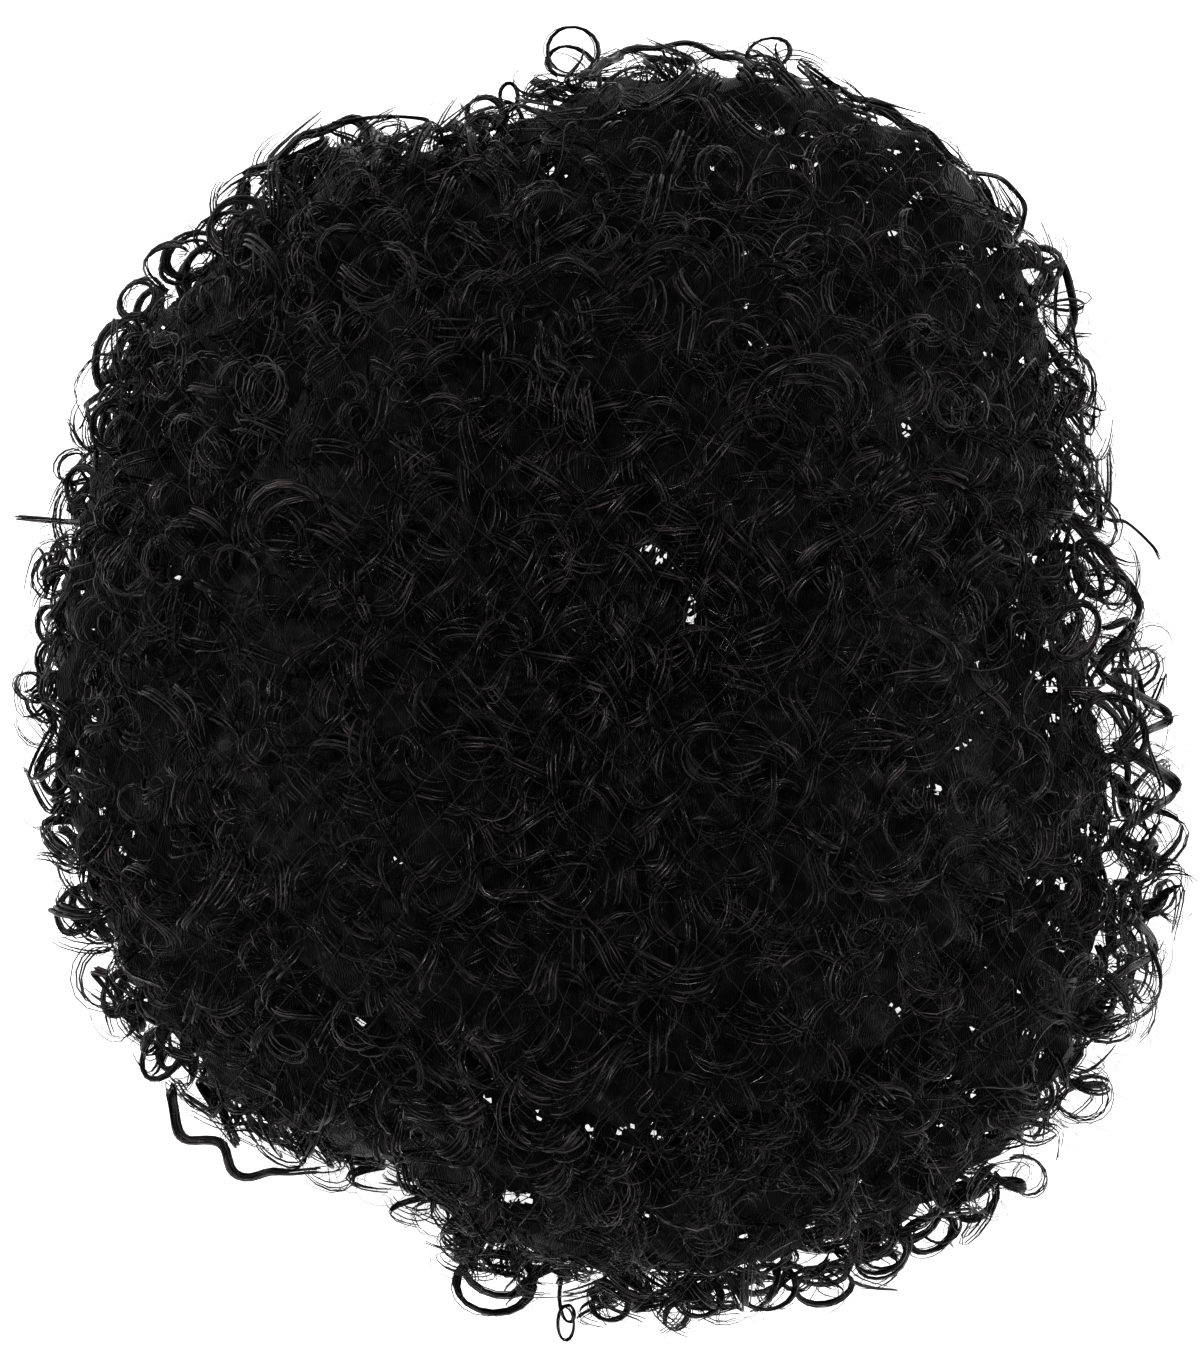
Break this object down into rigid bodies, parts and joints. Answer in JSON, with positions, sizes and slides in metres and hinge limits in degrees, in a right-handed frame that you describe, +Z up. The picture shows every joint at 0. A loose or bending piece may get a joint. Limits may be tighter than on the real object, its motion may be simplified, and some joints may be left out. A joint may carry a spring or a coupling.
{
  "type": "full cap wig",
  "caption": "Full cap wig of short tight black curls sewn in ringed weft rows to a stretch-net cap, with an elastic rim band and an open hollow for the head.",
  "frame": {"origin": "on the table under the middle of the wig as it sits rim down", "axes": "+Z up through the crown of the head, +Y towards the forehead edge, -Y towards the nape, +X to the right in the picture"},
  "size_m": [0.2742, 0.3098, 0.1685],
  "materials": {
    "hair": "satin",
    "cap_net": "matt",
    "rim_tape": "matt"
  },
  "bodies": {
    "root": {"cap": "cap_net", "rim_band": "rim_tape", "weft_1_rim": "hair", "weft_2_sides": "hair", "weft_3_lower_crown": "hair", "weft_4_mid_crown": "hair", "weft_5_upper_crown": "hair", "weft_6_top": "hair", "crown_tuft": "hair"}
  },
  "joints": []
}
